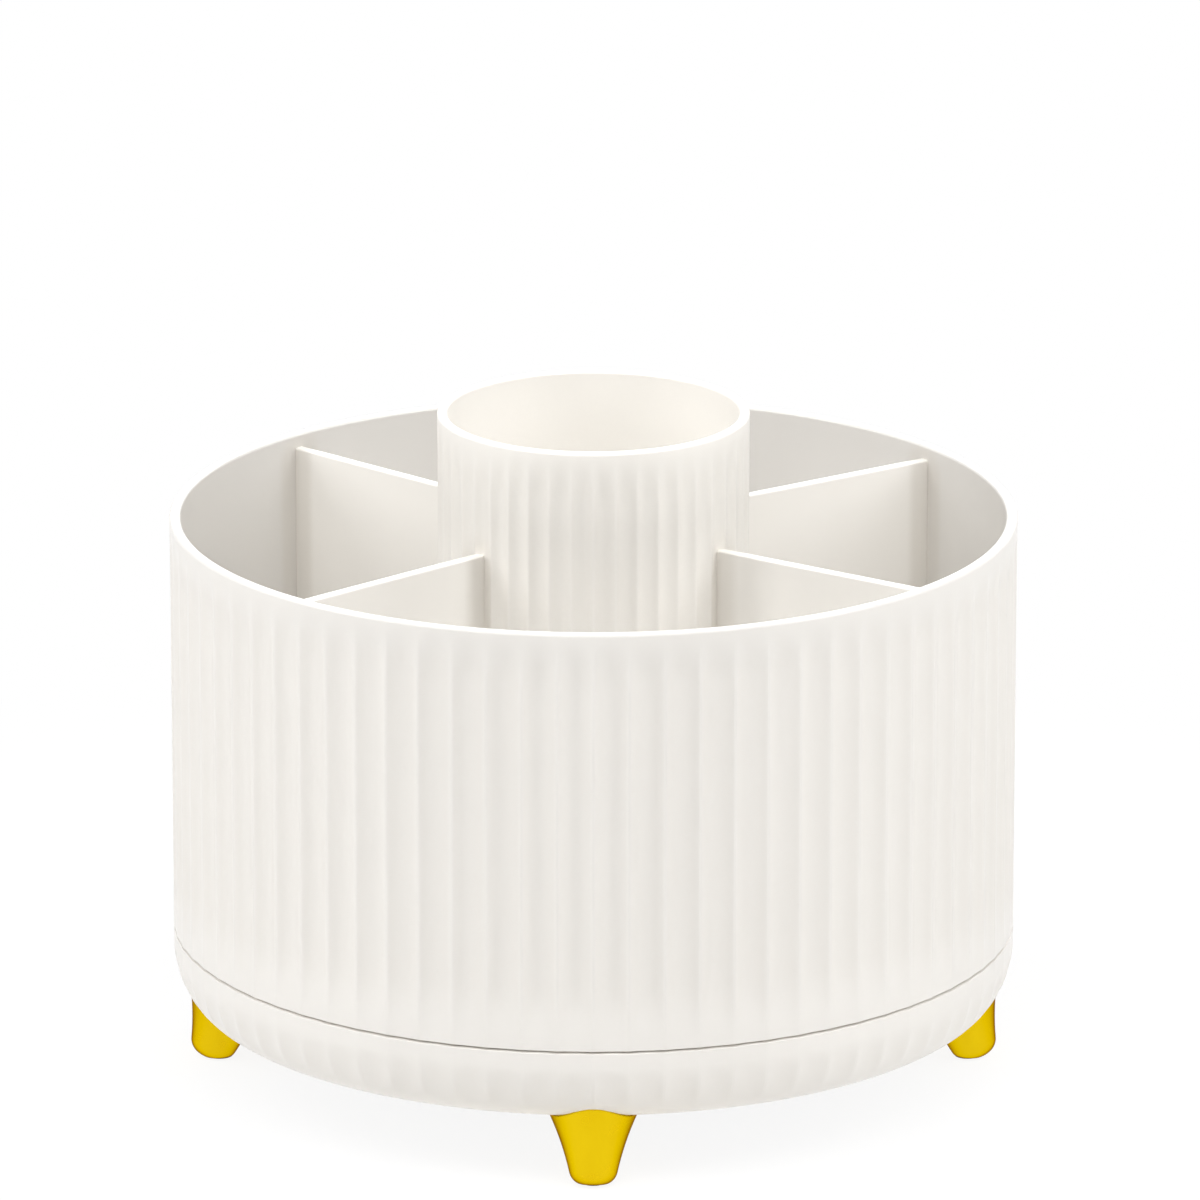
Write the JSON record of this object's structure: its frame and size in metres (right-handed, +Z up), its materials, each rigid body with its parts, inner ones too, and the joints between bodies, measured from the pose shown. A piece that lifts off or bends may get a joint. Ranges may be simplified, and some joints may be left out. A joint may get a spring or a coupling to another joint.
{
  "type": "rotating pen holder",
  "caption": "Round fluted white desk pen holder: a tub with a taller centre cup and dividers turns freely on a shallow base dish with short splayed gold feet.",
  "frame": {"origin": "centre of the rest plane under the foot pads, on the turning axis", "axes": "+Z up along the turning axis, -Y towards the front foot, +X to the right seen from the front"},
  "size_m": [0.16, 0.16, 0.1281],
  "materials": {
    "white_plastic": "warm white moulded plastic, soft satin",
    "gold_plating": "yellow gold electroplated plastic, glossy",
    "race_plastic": "natural acetal, smooth",
    "bright_steel": "polished steel",
    "zinc_steel": "zinc plated steel",
    "pad_rubber": "pale soft rubber"
  },
  "bodies": {
    "base": {"base_dish": "white_plastic", "lower_race": "race_plastic", "pivot_bush": "race_plastic", "hub_cap": "white_plastic", "foot_front": "gold_plating", "foot_right": "gold_plating", "foot_rear": "gold_plating", "foot_left": "gold_plating", "foot_screws": "zinc_steel", "foot_pad_front": "pad_rubber", "foot_pad_right": "pad_rubber", "foot_pad_rear": "pad_rubber", "foot_pad_left": "pad_rubber"},
    "tub": {"tub_shell": "white_plastic", "center_cup": "white_plastic", "divider_front_left": "white_plastic", "divider_front_right": "white_plastic", "divider_rear_left": "white_plastic", "divider_rear_right": "white_plastic", "cup_screws": "zinc_steel", "upper_race": "race_plastic", "pivot_shaft": "bright_steel", "retaining_washer": "zinc_steel", "retaining_screw": "zinc_steel"},
    "cage": {"ball_cage": "race_plastic", "bearing_balls": "bright_steel"}
  },
  "joints": [
    {"name": "tub_spin", "type": "hinge", "parent": "base", "child": "tub", "pos_m": [0, 0, 0.03], "axis": [0, 0, 1], "continuous": true},
    {"name": "cage_spin", "type": "hinge", "parent": "base", "child": "cage", "pos_m": [0, 0, 0.02275], "axis": [0, 0, 1], "continuous": true}
  ],
  "couplings": [
    {"joint": "cage_spin", "follows": "tub_spin", "ratio": 0.5}
  ]
}
